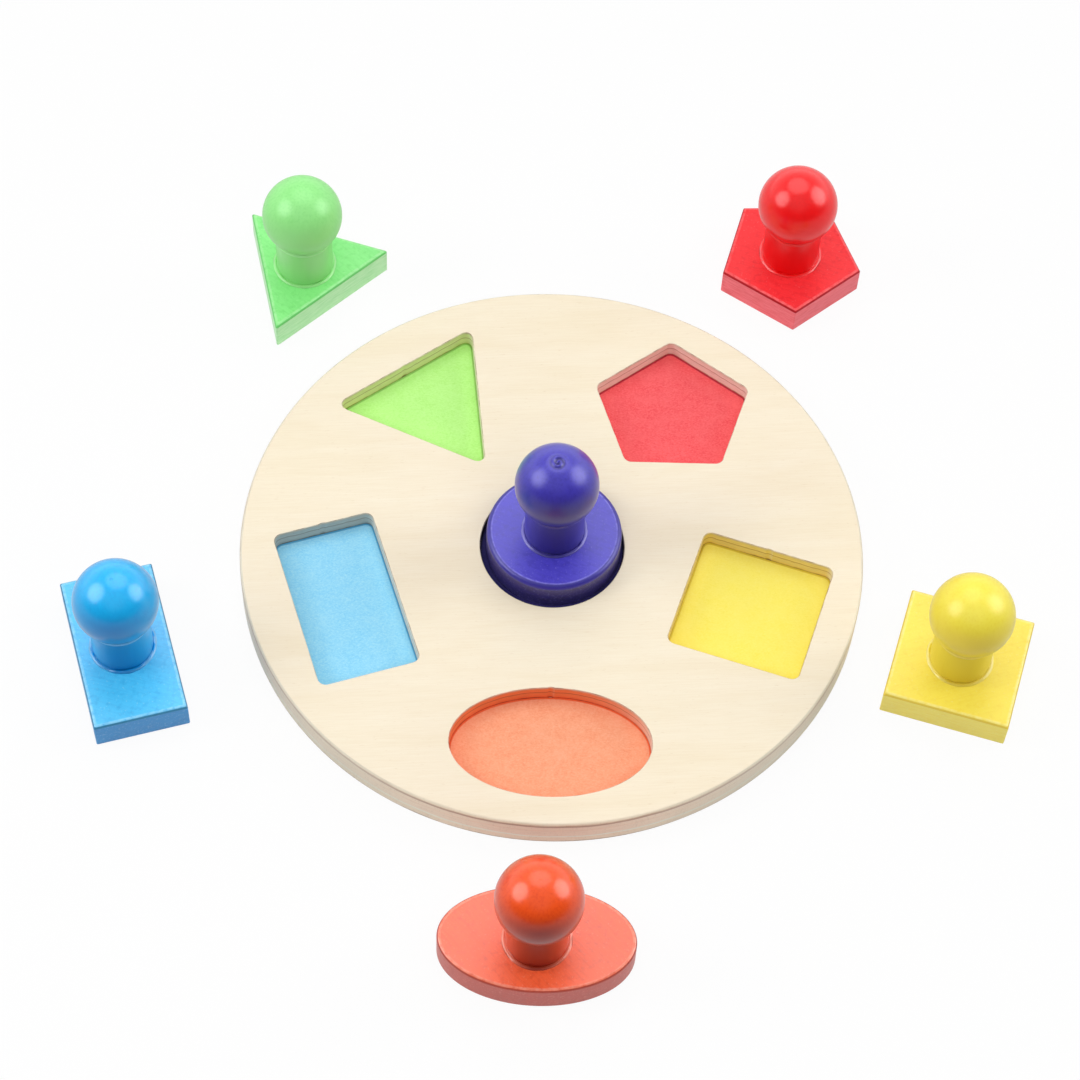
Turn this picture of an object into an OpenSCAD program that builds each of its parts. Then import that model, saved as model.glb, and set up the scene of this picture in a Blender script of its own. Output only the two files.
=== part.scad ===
// Peg puzzle for a small child: a round plywood board with six shaped recesses, and six painted
// blocks, each with a turned ball knob. The round block stands in the middle recess. The other
// five stand beside the board, each near its own recess.
// The origin is the middle of the board's underside, +Z is up and +Y points to the board's back.

/* [Board] */
// Width across the round board
board_d = 230; // [222:1:260]
// Thickness of the upper plate, which the recesses are cut through
top_plate_t = 7.5; // [6:0.5:10]
// Thickness of the lower plate, which closes the recesses
base_plate_t = 5.5; // [4:0.5:9]
// Rounding of the rim's upper edge
rim_top_r = 1.2; // [0.5:0.1:2.5]
// Rounding of the rim's lower edge
rim_foot_r = 0.8; // [0.4:0.1:2]
// Gap all round between a block and the wall of its recess
recess_gap = 1.7; // [0.8:0.1:2.5]
// Rounding of the corners of a recess, left by the router bit
recess_corner_r = 3; // [2.6:0.1:5]
// Depth of the middle recess, which is routed only part of the way through the upper plate
circle_recess_depth = 4.2; // [3.5:0.1:5]
// Thickness of the coat of paint on the floor of a recess
paint_t = 0.2; // [0.1:0.05:0.4]

/* [Wood between the recesses and the rim] */
// Wood from the triangular recess, before its corners are rounded, to the rim
triangle_rim_wall = 12.7; // [8:0.1:16]
// Wood from the pentagonal recess to the rim, likewise
pentagon_rim_wall = 11.5; // [8:0.1:16]
// Wood from the square recess to the rim, likewise
square_rim_wall = 10.6; // [8:0.1:16]
// Wood from the oblong recess to the rim, likewise
rectangle_rim_wall = 12; // [8:0.1:16]
// Wood from the oval recess to the rim
ellipse_rim_wall = 11.5; // [8:0.1:16]

/* [Blocks] */
// Thickness of every block
block_t = 12.5; // [10:0.5:16]
// Rounding of a block's upper edge
block_top_r = 1.2; // [0.5:0.1:1.5]
// Rounding of a block's lower edge
block_foot_r = 0.6; // [0.3:0.1:1.5]
// Rounding of a block's upright corners
block_corner_r = 1.8; // [1.6:0.1:3]
// Side of the triangular block
triangle_side = 57; // [50:0.5:60]
// Side of the pentagonal block
pentagon_side = 33.5; // [29:0.5:36]
// Side of the square block
square_side = 46.2; // [40:0.2:49]
// Length of the oblong block
rectangle_length = 62.3; // [55:0.1:66]
// Width of the oblong block
rectangle_width = 34.1; // [28:0.1:38]
// Length of the oval block
ellipse_length = 68.8; // [60:0.2:72]
// Width of the oval block
ellipse_width = 39.9; // [34:0.1:44]
// Radius of the oval block's ends
ellipse_end_r = 14; // [12:0.1:15]
// Width across the round block
circle_d = 49.7; // [42:0.1:54]
// Rounding of the round block's upper edge
circle_top_r = 1.8; // [0.5:0.1:2.2]

/* [Knobs] */
// Width across a knob's ball
ball_d = 30.5; // [26:0.5:34]
// Height of the ball's middle above the block
ball_rise = 30.5; // [26:0.5:36]
// Width of the neck under the ball
neck_d = 22; // [18:0.5:24]
// Radius of the groove turned between the ball and the neck
groove_r = 0.8; // [0.4:0.1:1.2]
// Radius of the neck's flared foot
foot_flare_r = 0.9; // [0.4:0.1:1.5]
// Width of the mark that the lathe's centre left on top of the ball
lathe_mark_d = 1.8; // [1:0.1:3]
// Depth of that mark
lathe_mark_depth = 0.6; // [0.3:0.1:1]

/* [Dowels] */
// Width of the glued dowel that joins a knob to its block
dowel_d = 8; // [6:0.5:10]
// Length of that dowel
dowel_l = 22; // [18:0.5:28]
// Wood left under the dowel's hole in the block
dowel_floor = 3.5; // [2.5:0.5:5]
// Glue gap all round the dowel
dowel_gap = 0.05; // [0.05:0.05:0.2]
// Glue gap at each end of the dowel
dowel_end_gap = 0.4; // [0.2:0.1:1]
// Bevel at each end of the dowel
dowel_bevel = 0.8; // [0.4:0.1:1.2]
// Radius of the flutes that let the glue out
flute_r = 0.5; // [0.3:0.05:0.6]

/* [Blocks beside the board] */
// Distance from the rim to the middle of the triangular block
triangle_stand_off = 44.9; // [44:0.1:80]
// Distance from the rim to the middle of the pentagonal block
pentagon_stand_off = 50.9; // [40:0.1:80]
// Distance from the rim to the middle of the square block
square_stand_off = 39.5; // [38:0.1:80]
// Distance from the rim to the middle of the oblong block
rectangle_stand_off = 46; // [40:0.1:80]
// Distance from the rim to the middle of the oval block
ellipse_stand_off = 42.4; // [38:0.1:80]

/* [Hidden] */
// Segments round a full circle: the usual count, for small rounds, and for rounded outlines
$fn = 96;
small_fn = 32;
outline_fn = 48;

board_r = board_d / 2;
board_t = base_plate_t + top_plate_t;
// The height of the middle recess's floor, under its paint
circle_floor_z = board_t - circle_recess_depth;
// The play between a coat of paint and the recess wall
paint_gap = 0.2;
// How far a cutting shape runs past the face that it cuts
overrun = 1;
flutes = 12;

// Each kind of shape has its place in the ring of five: the bearing of its recess from the middle
triangle_bearing = 126;
pentagon_bearing = 54;
square_bearing = -18;
ellipse_bearing = -90;
rectangle_bearing = 198;

wood = "#f3e4c8";
beech = "#d9b98c";

function hypotenuse_leg(long, leg) = sqrt(long * long - leg * leg);

// Corners of a regular polygon with a given side, the first one on +X
function regular(n, side) = let(r = side / 2 / sin(180 / n), step = 360 / n)
    [for (i = [0:n - 1]) r * [cos(i * step), sin(i * step)]];
// Corners of an oblong, anticlockwise
function oblong(length, width) = [[length, width], [-length, width], [-length, -width], [length, -width]] / 2;

function triangle_points(grow = 0) = regular(3, triangle_side + 2 * grow * tan(60));
function pentagon_points(grow = 0) = regular(5, pentagon_side + 2 * grow * tan(36));
function square_points(grow = 0) = oblong(square_side + 2 * grow, square_side + 2 * grow);
function rectangle_points(grow = 0) = oblong(rectangle_width + 2 * grow, rectangle_length + 2 * grow);

// The centres of a polygon's corner arcs: the corners drawn in until an arc of that radius touches both sides
function heading(a, b) = atan2(b[1] - a[1], b[0] - a[0]);
function drawn_in(points, r) = let(n = len(points))
    [for (i = [0:n - 1])
        let(into = heading(points[(i + n - 1) % n], points[i]), out = heading(points[i], points[(i + 1) % n]),
            half = ((out - into + 540) % 360 - 180) / 2, side = into + half + 90)
        points[i] + r / cos(half) * [cos(side), sin(side)]];

// Half the cross-section of a flat piece: square inside, with its outer edges rounded
module edge_section(width, height, top_r, foot_r) {
    translate([0, foot_r]) square([width, height - top_r - foot_r]);
    if (top_r > 0) {
        translate([0, height - top_r]) square([width - top_r, top_r]);
        translate([width - top_r, height - top_r]) intersection() {
            circle(top_r, $fn = small_fn);
            square(top_r);
        }
    }
    if (foot_r > 0) {
        square([width - foot_r, foot_r]);
        translate([width - foot_r, foot_r]) intersection() {
            circle(foot_r, $fn = small_fn);
            translate([0, -foot_r]) square(foot_r);
        }
    }
}

// A flat polygonal piece with rounded corners and edges, wrapped round a turned puck at each corner
module rounded_prism(points, corner_r, height, top_r, foot_r)
    hull() for (centre = drawn_in(points, corner_r)) translate(centre)
        rotate_extrude($fn = small_fn) edge_section(corner_r, height, top_r, foot_r);

// An oval of four arcs, which runs very close to an ellipse. side_r is the radius of its long
// sides, found from the condition that the arcs run into each other smoothly
function side_r(length, width, end_r) =
    (pow(length / 2 - end_r, 2) + pow(width / 2, 2) - pow(end_r, 2)) / (width - 2 * end_r);

module oval(length, width, end_r) {
    side = side_r(length, width, end_r);
    end_x = length / 2 - end_r;
    drop = side - width / 2;
    meet_x = end_x * side / (side - end_r);
    hull() {
        for (x = [-end_x, end_x]) translate([x, 0]) circle(end_r, $fn = outline_fn);
        intersection() {
            translate([0, -drop]) circle(side);
            translate([0, drop]) circle(side);
            square([2 * meet_x, width + 2 * overrun], center = true);
        }
    }
}

// The oval as a flat piece with rounded edges, wrapped round a turned wedge at each end and a
// turned arc along each side. The arcs stop one segment short of the wedges
module rounded_oval(length, width, end_r, height, top_r, foot_r) {
    side = side_r(length, width, end_r);
    end_x = length / 2 - end_r;
    drop = side - width / 2;
    lean = atan2(end_x, drop);
    arc = lean - 360 / $fn;
    hull() for (half = [0, 180]) rotate(half) {
        translate([end_x, 0]) rotate(lean - 90) rotate_extrude(angle = 180 - 2 * lean, $fn = outline_fn)
            edge_section(end_r, height, top_r, foot_r);
        translate([0, -drop]) rotate(90 - arc) rotate_extrude(angle = 2 * arc)
            translate([side - end_r, 0]) edge_section(end_r, height, top_r, foot_r);
    }
}

// A polygon with rounded corners, as a flat outline
module rounded_outline(points, corner_r)
    hull() for (centre = drawn_in(points, corner_r)) translate(centre) circle(corner_r, $fn = small_fn);

// The outline of each recess, or of its coat of paint when inset, about its own middle
module triangle_outline(inset = 0)
    rounded_outline(triangle_points(recess_gap - inset), recess_corner_r - inset);
module pentagon_outline(inset = 0)
    rounded_outline(pentagon_points(recess_gap - inset), recess_corner_r - inset);
module square_outline(inset = 0)
    rounded_outline(square_points(recess_gap - inset), recess_corner_r - inset);
module rectangle_outline(inset = 0)
    rounded_outline(rectangle_points(recess_gap - inset), recess_corner_r - inset);
module ellipse_outline(inset = 0) {
    grow = 2 * (recess_gap - inset);
    oval(ellipse_length + grow, ellipse_width + grow, ellipse_end_r + grow / 2);
}
module circle_outline(inset = 0)
    circle(circle_d / 2 + recess_gap - inset);

// How far from the board's middle a recess with a flat outer side sits, so that its outer corners
// leave the stated wood to the rim
function ring_r(rim_wall, half_side, apothem) = hypotenuse_leg(board_r - rim_wall, half_side) - apothem;
triangle_recess_side = triangle_side + 2 * recess_gap * tan(60);
pentagon_recess_side = pentagon_side + 2 * recess_gap * tan(36);
square_recess_side = square_side + 2 * recess_gap;
triangle_ring = ring_r(triangle_rim_wall, triangle_recess_side / 2, triangle_recess_side / 2 / tan(60));
pentagon_ring = ring_r(pentagon_rim_wall, pentagon_recess_side / 2, pentagon_recess_side / 2 / tan(36));
square_ring = ring_r(square_rim_wall, square_recess_side / 2, square_recess_side / 2);
rectangle_ring =
    ring_r(rectangle_rim_wall, rectangle_length / 2 + recess_gap, rectangle_width / 2 + recess_gap);
ellipse_ring = board_r - ellipse_rim_wall - ellipse_width / 2 - recess_gap;

// Puts a recess in the ring, with the point or side that faces the middle turned to it
module in_ring(bearing, ring, turn)
    rotate(bearing) translate([ring, 0]) rotate(turn) children();
module in_triangle_place() in_ring(triangle_bearing, triangle_ring, 180) children();
module in_pentagon_place() in_ring(pentagon_bearing, pentagon_ring, 180) children();
module in_square_place() in_ring(square_bearing, square_ring, 0) children();
module in_rectangle_place() in_ring(rectangle_bearing, rectangle_ring, 0) children();
module in_ellipse_place() in_ring(ellipse_bearing, ellipse_ring, 90) children();

// The board
module base_plate() color(wood)
    rotate_extrude($fn = 2 * $fn) edge_section(board_r, base_plate_t, 0, rim_foot_r);

module top_plate() color(wood) difference() {
    translate([0, 0, base_plate_t])
        rotate_extrude($fn = 2 * $fn) edge_section(board_r, top_plate_t, rim_top_r, 0);
    translate([0, 0, base_plate_t - overrun]) linear_extrude(top_plate_t + 2 * overrun) {
        in_triangle_place() triangle_outline();
        in_pentagon_place() pentagon_outline();
        in_square_place() square_outline();
        in_rectangle_place() rectangle_outline();
        in_ellipse_place() ellipse_outline();
    }
    translate([0, 0, circle_floor_z]) linear_extrude(circle_recess_depth + overrun) circle_outline();
}

// A coat of paint on the floor of a recess
module paint(colour, floor_z = base_plate_t)
    color(colour) translate([0, 0, floor_z]) linear_extrude(paint_t) children();
module triangle_floor() paint("#bdff8c") in_triangle_place() triangle_outline(paint_gap);
module pentagon_floor() paint("#ff6468") in_pentagon_place() pentagon_outline(paint_gap);
module square_floor() paint("#fff06a") in_square_place() square_outline(paint_gap);
module rectangle_floor() paint("#97e0ff") in_rectangle_place() rectangle_outline(paint_gap);
module ellipse_floor() paint("#ffa880") in_ellipse_place() ellipse_outline(paint_gap);
module circle_floor() paint("#9d94f0", circle_floor_z) circle_outline(paint_gap);

// Where each peg stands beside the board: bearing from the board's middle, stand-off and own turn
module standing(bearing, stand_off, turn)
    rotate(bearing) translate([board_r + stand_off, 0]) rotate(turn - bearing) children();
module triangle_stand() standing(127.5, triangle_stand_off, 12.7) children();
module pentagon_stand() standing(56, pentagon_stand_off, 128.5) children();
module square_stand() standing(-16.4, square_stand_off, -16.3) children();
module rectangle_stand() standing(-163.5, rectangle_stand_off, 16.4) children();
module ellipse_stand() standing(-91.5, ellipse_stand_off, -1.5) children();
// The round block stands in its recess, pushed back in its play
circle_push_shares = [0.3, 0.75];
module circle_stand()
    translate([recess_gap * circle_push_shares[0], recess_gap * circle_push_shares[1], circle_floor_z + paint_t])
        children();

// A block: the shape given as the child, with the hole for its dowel
module drilled(colour) color(colour) difference() {
    children();
    translate([0, 0, dowel_floor]) cylinder(h = block_t, r = dowel_r + dowel_gap, $fn = small_fn);
}
module polygon_block(points, colour) drilled(colour)
    rounded_prism(points, block_corner_r, block_t, block_top_r, block_foot_r);
module triangle_block() triangle_stand() polygon_block(triangle_points(), "#6fef77");
module pentagon_block() pentagon_stand() polygon_block(pentagon_points(), "#f8343f");
module square_block() square_stand() polygon_block(square_points(), "#ffe957");
module rectangle_block() rectangle_stand() polygon_block(rectangle_points(), "#4cb8ff");
module ellipse_block() ellipse_stand() drilled("#f4623a")
    rounded_oval(ellipse_length, ellipse_width, ellipse_end_r, block_t, block_top_r, block_foot_r);
module circle_block() circle_stand() drilled("#4a3dbe")
    rotate_extrude() edge_section(circle_d / 2, block_t, circle_top_r, block_foot_r);

// The turned profile of a knob: ball, groove, neck and flared foot, with the lathe's mark on top
// and the dowel's hole in the foot
neck_r = neck_d / 2;
ball_r = ball_d / 2;
neck_h = ball_rise - hypotenuse_leg(ball_r, neck_r);
knob_hole_depth = dowel_floor + 2 * dowel_end_gap + dowel_l - block_t;
module knob_profile() difference() {
    union() {
        intersection() {
            translate([0, ball_rise]) circle(ball_r);
            square([ball_d, ball_rise + ball_d]);
        }
        square([neck_r, ball_rise]);
        difference() {
            square([neck_r + foot_flare_r, foot_flare_r]);
            translate([neck_r + foot_flare_r, foot_flare_r]) circle(foot_flare_r, $fn = small_fn);
        }
    }
    translate([neck_r + groove_r / 2, neck_h]) circle(groove_r, $fn = small_fn);
    polygon([[0, ball_rise + ball_r - lathe_mark_depth], [lathe_mark_d / 2, ball_rise + ball_r + overrun],
        [0, ball_rise + ball_r + overrun]]);
    translate([0, -overrun]) square([dowel_r + dowel_gap, knob_hole_depth + overrun]);
}
module knob(colour) color(colour) translate([0, 0, block_t]) rotate_extrude() knob_profile();
module triangle_knob() triangle_stand() knob("#76f57c");
module pentagon_knob() pentagon_stand() knob("#f93a46");
module square_knob() square_stand() knob("#ffe34a");
module rectangle_knob() rectangle_stand() knob("#36b4fb");
module ellipse_knob() ellipse_stand() knob("#f4511f");
module circle_knob() circle_stand() knob("#4336b4");

// A fluted beech dowel with bevelled ends
dowel_r = dowel_d / 2;
module dowel() color(beech) translate([0, 0, dowel_floor + dowel_end_gap]) difference() {
    rotate_extrude($fn = small_fn) polygon([[0, 0], [dowel_r - dowel_bevel, 0], [dowel_r, dowel_bevel],
        [dowel_r, dowel_l - dowel_bevel], [dowel_r - dowel_bevel, dowel_l], [0, dowel_l]]);
    for (i = [0:flutes - 1]) rotate(i * 360 / flutes) translate([dowel_r + flute_r / 2, 0, -overrun])
        cylinder(h = dowel_l + 2 * overrun, r = flute_r, $fn = small_fn);
}
module triangle_dowel() triangle_stand() dowel();
module pentagon_dowel() pentagon_stand() dowel();
module square_dowel() square_stand() dowel();
module rectangle_dowel() rectangle_stand() dowel();
module ellipse_dowel() ellipse_stand() dowel();
module circle_dowel() circle_stand() dowel();

base_plate();
top_plate();
triangle_floor();
pentagon_floor();
square_floor();
rectangle_floor();
ellipse_floor();
circle_floor();
triangle_block();
pentagon_block();
square_block();
rectangle_block();
ellipse_block();
circle_block();
triangle_knob();
pentagon_knob();
square_knob();
rectangle_knob();
ellipse_knob();
circle_knob();
triangle_dowel();
pentagon_dowel();
square_dowel();
rectangle_dowel();
ellipse_dowel();
circle_dowel();
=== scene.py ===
"""Peg puzzle: a round plywood board with six shaped recesses and six painted pegs with turned ball knobs.

Lengths are named in millimetres and turned to metres by MM where a piece is made.
"""

import math

import bmesh
import bpy
from mathutils import Matrix, Vector, noise


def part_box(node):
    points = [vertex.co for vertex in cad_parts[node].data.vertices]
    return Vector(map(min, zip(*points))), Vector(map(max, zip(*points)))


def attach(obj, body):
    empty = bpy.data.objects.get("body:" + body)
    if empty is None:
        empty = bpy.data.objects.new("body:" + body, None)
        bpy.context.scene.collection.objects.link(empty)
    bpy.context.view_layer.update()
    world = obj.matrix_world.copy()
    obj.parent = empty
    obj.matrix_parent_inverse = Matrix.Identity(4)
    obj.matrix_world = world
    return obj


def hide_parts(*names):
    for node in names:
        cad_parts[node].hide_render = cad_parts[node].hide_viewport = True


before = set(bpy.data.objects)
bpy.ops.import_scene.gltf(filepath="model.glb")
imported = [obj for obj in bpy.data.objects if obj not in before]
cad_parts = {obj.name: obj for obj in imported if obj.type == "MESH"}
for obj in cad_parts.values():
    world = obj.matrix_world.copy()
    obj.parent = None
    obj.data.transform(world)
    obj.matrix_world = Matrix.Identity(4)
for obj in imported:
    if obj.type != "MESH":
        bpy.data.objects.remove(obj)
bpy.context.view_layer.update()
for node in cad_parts.values():
    node.select_set(False)

MM = 0.001
bpy.context.scene.view_settings.view_transform = "Standard"


# Camera and light

FRAME_PIXELS = 1080
FOCAL_PIXELS = 3028
SENSOR_WIDTH = 36
CAMERA_PLACE = Vector((-26.6, -584.3, 965.0)) * MM
CAMERA_PITCH = 58.353
CAMERA_TURN = -2.157
CAMERA_ROLL = 3.137
# In metres
FAR_CLIP = 50


def make_camera():
    """A camera that looks down on the board from in front, as the photograph does."""
    data = bpy.data.cameras.new("photo_camera")
    data.sensor_width = SENSOR_WIDTH
    data.lens = SENSOR_WIDTH * FOCAL_PIXELS / FRAME_PIXELS
    data.clip_end = FAR_CLIP
    camera = bpy.data.objects.new("photo_camera", data)
    bpy.context.scene.collection.objects.link(camera)
    turn = Matrix.Rotation(math.radians(CAMERA_TURN), 4, "Z")
    pitch = Matrix.Rotation(math.radians(90 - CAMERA_PITCH), 4, "X")
    roll = Matrix.Rotation(math.radians(CAMERA_ROLL), 4, "Z")
    camera.matrix_world = Matrix.Translation(CAMERA_PLACE) @ turn @ pitch @ roll
    bpy.context.scene.camera = camera


# Softboxes: name, direction from the board, distance, width and height in metres, radiance, and whether it
# lights the pieces or shines in their gloss
SOFTBOXES = (
    ("left_light", (-0.78, -0.02, 0.6), 1.5, 0.7, 0.7, 4.65, "diffuse"),
    ("right_light", (0.84, 0.2, 0.5), 1.5, 0.7, 0.7, 3.65, "diffuse"),
    ("back_light", (0.0, 0.4, 0.92), 1.25, 0.95, 0.85, 1.55, "diffuse"),
    ("overhead_light", (0.0, -0.42, 0.91), 1.5, 1.8, 1.65, 1.63, "diffuse"),
    ("left_sheen", (-0.76, -0.05, 0.65), 1.5, 1.15, 1.15, 4.4, "gloss"),
    ("right_sheen", (0.8, 0.12, 0.58), 1.5, 1.15, 1.15, 4.4, "gloss"),
    ("back_sheen", (0.0, 0.42, 0.9), 1.25, 1.2, 1.1, 2.4, "gloss"),
)


def make_lamps():
    """Round softboxes, one to each side and one above the back of the table, and a wide light overhead, a
    little to the front. What they light is split from what shines in the gloss, which sees them wider and
    softer."""
    for name, direction, distance, width, height, radiance, role in SOFTBOXES:
        data = bpy.data.lights.new(name, "AREA")
        data.shape = "ELLIPSE"
        data.size = width
        data.size_y = height
        # The power that gives a round lamp of this size its radiance
        data.energy = radiance * math.pi * width * height * math.pi / 4
        lamp = bpy.data.objects.new(name, data)
        lamp.location = Vector(direction).normalized() * distance
        lamp.rotation_euler = Vector(direction).to_track_quat("Z", "Y").to_euler()
        lamp.visible_glossy = role == "gloss"
        lamp.visible_diffuse = role == "diffuse"
        bpy.context.scene.collection.objects.link(lamp)


# Nodes and colours

ATTRIBUTE = "ShaderNodeAttribute"
BUMP = "ShaderNodeBump"
COORDINATES = "ShaderNodeTexCoord"
MAPPING = "ShaderNodeMapping"
MATH = "ShaderNodeMath"
MIX = "ShaderNodeMix"
NOISE = "ShaderNodeTexNoise"
RAMP = "ShaderNodeValToRGB"
RANGE = "ShaderNodeMapRange"
RAYS = "ShaderNodeLightPath"
SHADER = "ShaderNodeBsdfPrincipled"
SURFACE = "ShaderNodeOutputMaterial"
SPLIT_COLOUR = "ShaderNodeSeparateColor"
SPLIT_PLACE = "ShaderNodeSeparateXYZ"
# Two colours blended, or one tinted by the other
BLEND = {"data_type": "RGBA"}
TINT = {"data_type": "RGBA", "blend_type": "MULTIPLY"}


def paint(hex_colour):
    """An sRGB hex colour as linear RGBA."""
    shares = [int(hex_colour[i:i + 2], 16) / 255 for i in (1, 3, 5)]
    return [s / 12.92 if s <= 0.04045 else ((s + 0.055) / 1.055) ** 2.4 for s in shares] + [1]


def add(tree, kind, settings=None, **inputs):
    """Adds a node and gives its outputs. The settings are the node's own, with the stops of a colour ramp as
    (position, hex colour). The inputs are set or linked, and named or numbered as in _6."""
    made = tree.nodes.new(kind)
    for name, value in (settings or {}).items():
        if name == "stops":
            while len(made.color_ramp.elements) < len(value):
                made.color_ramp.elements.new(0.5)
            for element, (position, colour) in zip(made.color_ramp.elements, value):
                element.position = position
                element.color = paint(colour)
        else:
            setattr(made, name, value)
    for name, value in inputs.items():
        key = int(name[1:]) if name[0] == "_" else name.replace("_", " ")
        if isinstance(value, bpy.types.NodeSocket):
            tree.links.new(value, made.inputs[key])
        else:
            made.inputs[key].default_value = value
    return made.outputs


def coats(tree, colour, *layers):
    """Lays coats over a colour. Each is a pattern, the value where the coat starts and the one where it is
    full, how much of it shows at most, and its own colour."""
    for pattern, start, full, most, over in layers:
        share = add(tree, RANGE, Value=pattern, From_Min=start, From_Max=full, To_Max=most)[0]
        colour = add(tree, MIX, BLEND, _0=share, _6=colour, _7=over)[2]
    return colour


def stretched(tree, scale, turn=0.0):
    """Object coordinates, turned about Z and scaled along each axis."""
    place = add(tree, COORDINATES)["Object"]
    turned = add(tree, MAPPING, Vector=place, Rotation=(0, 0, math.radians(turn)))[0]
    return add(tree, MAPPING, Vector=turned, Scale=scale)[0]


def new_material(name):
    """A material and its empty node tree."""
    material = bpy.data.materials.new(name)
    material.use_nodes = True
    material.node_tree.nodes.clear()
    return material, material.node_tree


def finish_material(material, **inputs):
    """Closes a material with a shader that takes these inputs."""
    shader = add(material.node_tree, SHADER, **inputs)[0]
    add(material.node_tree, SURFACE, Surface=shader)
    return material


# Woods

GRAIN_TURN = -4.0
# The rim's front tone gives way to its side tone between these places along Y
RIM_FRONT, RIM_SIDE = -112, -92
PLY_WAVER = 0.2
# The plies of each plate's edge, as shares of its height from the foot up: end grain is dark, long grain
# pale, and the glue lines fall between them
# The lower plate's first two stops darken its foot: painted shade where the rim rounds under to the table
LOWER_PLIES = ((0.0, "#987456"), (0.14, "#AA8668"), (0.22, "#FFF0D6"), (0.66, "#FFEED4"), (0.72, "#FFFDEC"),
               (0.84, "#FFFBEA"), (0.9, "#FFECD4"), (1.0, "#FFEAD0"))
UPPER_PLIES = ((0.0, "#FFEAD2"), (0.4, "#FFE9D0"), (0.45, "#FFDFC3"), (0.5, "#FFEAD2"), (0.74, "#FFE9D0"),
               (0.8, "#C29C82"), (0.88, "#CCA88E"), (0.93, "#F3E3CA"), (1.0, "#F5E8CF"))
# The wall of a recess, from its foot: paint soaked in, a pale ply, a glue line, a second pale ply, a duller
# line under the face veneer, and the veneer with its dark cut edge
WALL_PLIES = ((0.0, "#8A6E54"), (0.06, "#C8AA8A"), (0.13, "#FAF0E2"), (0.5, "#FAF0E2"), (0.56, "#C4A78C"),
              (0.62, "#FFF6E8"), (0.86, "#FBF1E2"), (0.92, "#E4D2B6"), (0.96, "#F8EDDA"), (1.0, "#AC8C74"))
# How far the wall's plies waver, as a share of its height
WALL_WAVER = 0.03


def birch_veneer():
    """Rotary-cut birch face veneer, sanded and sealed: almost white, with long faint figure, short dark pores
    and a low sheen."""
    material, tree = new_material("sealed_birch_veneer")
    # The wide figure of rotary-cut veneer: bands about 12 mm wide and several times as long
    figure = add(tree, NOISE, Vector=stretched(tree, (12, 80, 80), GRAIN_TURN), Scale=1.0, Detail=3.0,
                 Roughness=0.5, Distortion=0.8)[0]
    # Drifts of tone 50 to 80 mm across
    broad = add(tree, NOISE, Vector=stretched(tree, (9, 13, 13), GRAIN_TURN), Scale=1.0, Detail=1.0)[0]
    # Fibres about 0.4 mm wide and 10 mm long
    fibre = add(tree, NOISE, Vector=stretched(tree, (70, 1700, 1700), GRAIN_TURN), Scale=1.0, Detail=4.0,
                Roughness=0.65)[0]
    # Pores: thin dashes 2 mm long
    pore = add(tree, NOISE, Vector=stretched(tree, (420, 2600, 2600), GRAIN_TURN), Scale=1.0, Detail=2.0)[0]
    base = add(tree, RAMP, {"stops": ((0.25, "#EFDFC0"), (0.5, "#F5E8CF"), (0.8, "#F8EED9"))}, Fac=figure)[0]
    tone = add(tree, RAMP, {"stops": ((0.3, "#F0E2CC"), (0.5, "#F7EBD2"), (0.75, "#FAEED2"))}, Fac=broad)[0]
    colour = add(tree, MIX, BLEND, _0=0.5, _6=base, _7=tone)[2]
    colour = coats(tree, colour,
                   (fibre, 0.35, 0.75, 0.22, paint("#E2CBA2")),
                   (pore, 0.66, 0.78, 0.3, paint("#CDAF80")))
    bump = add(tree, BUMP, Height=fibre, Strength=0.12, Distance=0.1 * MM)[0]
    roughness = add(tree, RANGE, Value=fibre, From_Min=0.3, From_Max=0.7, To_Min=0.5, To_Max=0.62)[0]
    return finish_material(material, Base_Color=colour, Normal=bump, Roughness=roughness,
                           Specular_IOR_Level=0.35)


def ply_edge(name, plies, low, high):
    """The sanded edge of plywood, sealed like the face: plies of end grain and long grain in level bands,
    pinker towards the front of the board and greyer round its sides."""
    material, tree = new_material(name)
    place = add(tree, COORDINATES)["Object"]
    _, along, height = add(tree, SPLIT_PLACE, Vector=place)
    # The plies waver over a length of about 15 mm
    waver = add(tree, NOISE, Vector=place, Scale=60.0, Detail=2.0)[0]
    shift = add(tree, RANGE, Value=waver, From_Min=0.3, From_Max=0.7, To_Min=-PLY_WAVER * MM,
                To_Max=PLY_WAVER * MM)[0]
    level = add(tree, MATH, {"operation": "ADD"}, _0=height, _1=shift)[0]
    share = add(tree, RANGE, Value=level, From_Min=low * MM, From_Max=high * MM)[0]
    bands = add(tree, RAMP, {"stops": plies}, Fac=share)[0]
    grey = add(tree, MIX, TINT, _0=1.0, _6=bands, _7=paint("#F2F6F0"))[2]
    grey = add(tree, MIX, BLEND, _0=0.45, _6=grey, _7=paint("#E8E0D2"))[2]
    # Fibres along the ply, 0.15 mm high, and end-grain dots 0.4 mm across
    fibre = add(tree, NOISE, Vector=stretched(tree, (130, 130, 4200)), Scale=1.0, Detail=3.0,
                Roughness=0.7)[0]
    dots = add(tree, NOISE, Vector=stretched(tree, (1600, 1600, 700)), Scale=1.0, Detail=2.0)[0]
    colour = coats(tree, bands,
                   (along, RIM_FRONT * MM, RIM_SIDE * MM, 1.0, grey),
                   (fibre, 0.4, 0.75, 0.25, paint("#B59A82")),
                   (dots, 0.55, 0.75, 0.15, paint("#9A8068")))
    bump = add(tree, BUMP, Height=fibre, Strength=0.25, Distance=0.15 * MM)[0]
    return finish_material(material, Base_Color=colour, Normal=bump, Roughness=0.45, Specular_IOR_Level=0.5)


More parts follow.
